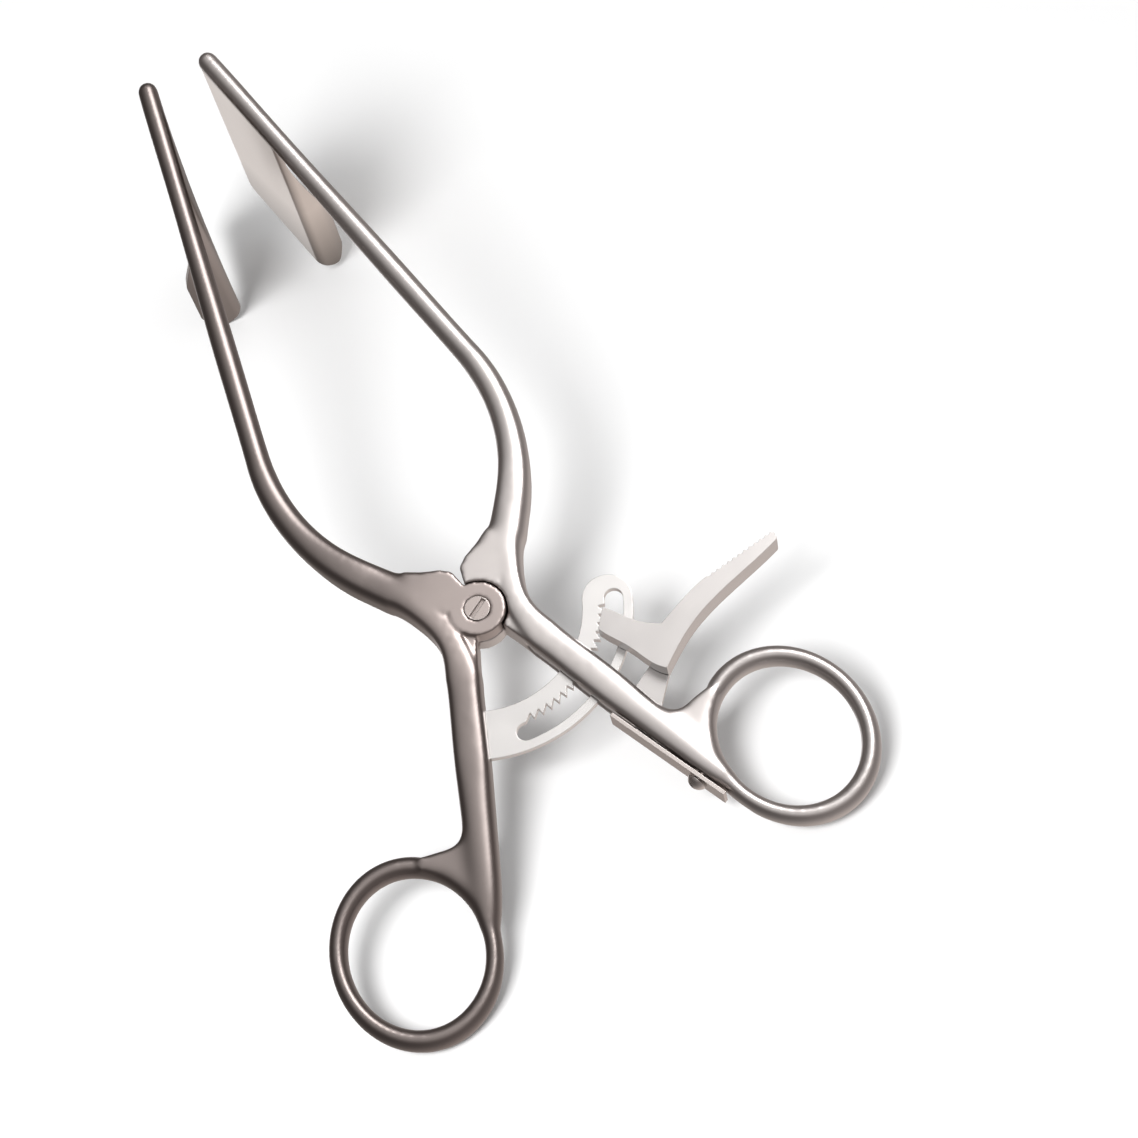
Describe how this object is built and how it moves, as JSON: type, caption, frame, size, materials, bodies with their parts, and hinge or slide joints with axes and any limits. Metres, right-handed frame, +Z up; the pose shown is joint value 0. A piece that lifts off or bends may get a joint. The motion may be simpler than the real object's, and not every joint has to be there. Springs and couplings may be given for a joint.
{
  "type": "vaginal retractor",
  "caption": "Self-retaining ring-handled retractor: squeezing the rings spreads two deep flat blades, and a rack with a release lever holds them apart.",
  "frame": {"origin": "middle of the instrument's outline on the table, straight under it", "axes": "+Y from the finger rings to the blade tips, +X to the right half with the release lever, +Z up. The instrument stands on its rings and on the lips of its blades, so its own plane is tilted about X"},
  "size_m": [0.1186, 0.231, 0.065],
  "materials": {
    "satin_steel": "satin",
    "blade_steel": "satin",
    "screw_steel": "satin",
    "rack_steel": "satin",
    "lever_steel": "satin",
    "spring_steel": "satin"
  },
  "bodies": {
    "left_half": {"left_arm_handle": "satin_steel", "left_blade": "blade_steel", "ratchet_rack": "rack_steel", "rack_rivets": "screw_steel", "pivot_screw": "screw_steel"},
    "right_half": {"right_arm_handle": "satin_steel", "right_blade": "blade_steel", "lever_pin": "screw_steel", "spring_screw": "screw_steel"},
    "lever": {"release_lever": "lever_steel"},
    "leaf": {"leaf_spring": "spring_steel"}
  },
  "joints": [
    {"name": "blade_hinge", "type": "hinge", "parent": "left_half", "child": "right_half", "pos_m": [0.00012, -0.04215, 0.0226], "axis": [0, 0.2706, -0.9627], "range_deg": [0, 39.6]},
    {"name": "lever_release", "type": "hinge", "parent": "right_half", "child": "lever", "pos_m": [0.01866, -0.07525, 0.01329], "axis": [0, 0.2706, -0.9627], "range_deg": [-2.5, 4], "stiffness_Nm_per_rad": 0.5},
    {"name": "leaf_flex", "type": "hinge", "parent": "right_half", "child": "leaf", "pos_m": [0.02183, -0.09269, 0.00839], "axis": [0, -0.2706, 0.9627], "range_deg": [-0.7, 1.1]}
  ],
  "couplings": [
    {"joint": "leaf_flex", "follows": "lever_release", "ratio": 0.24}
  ]
}
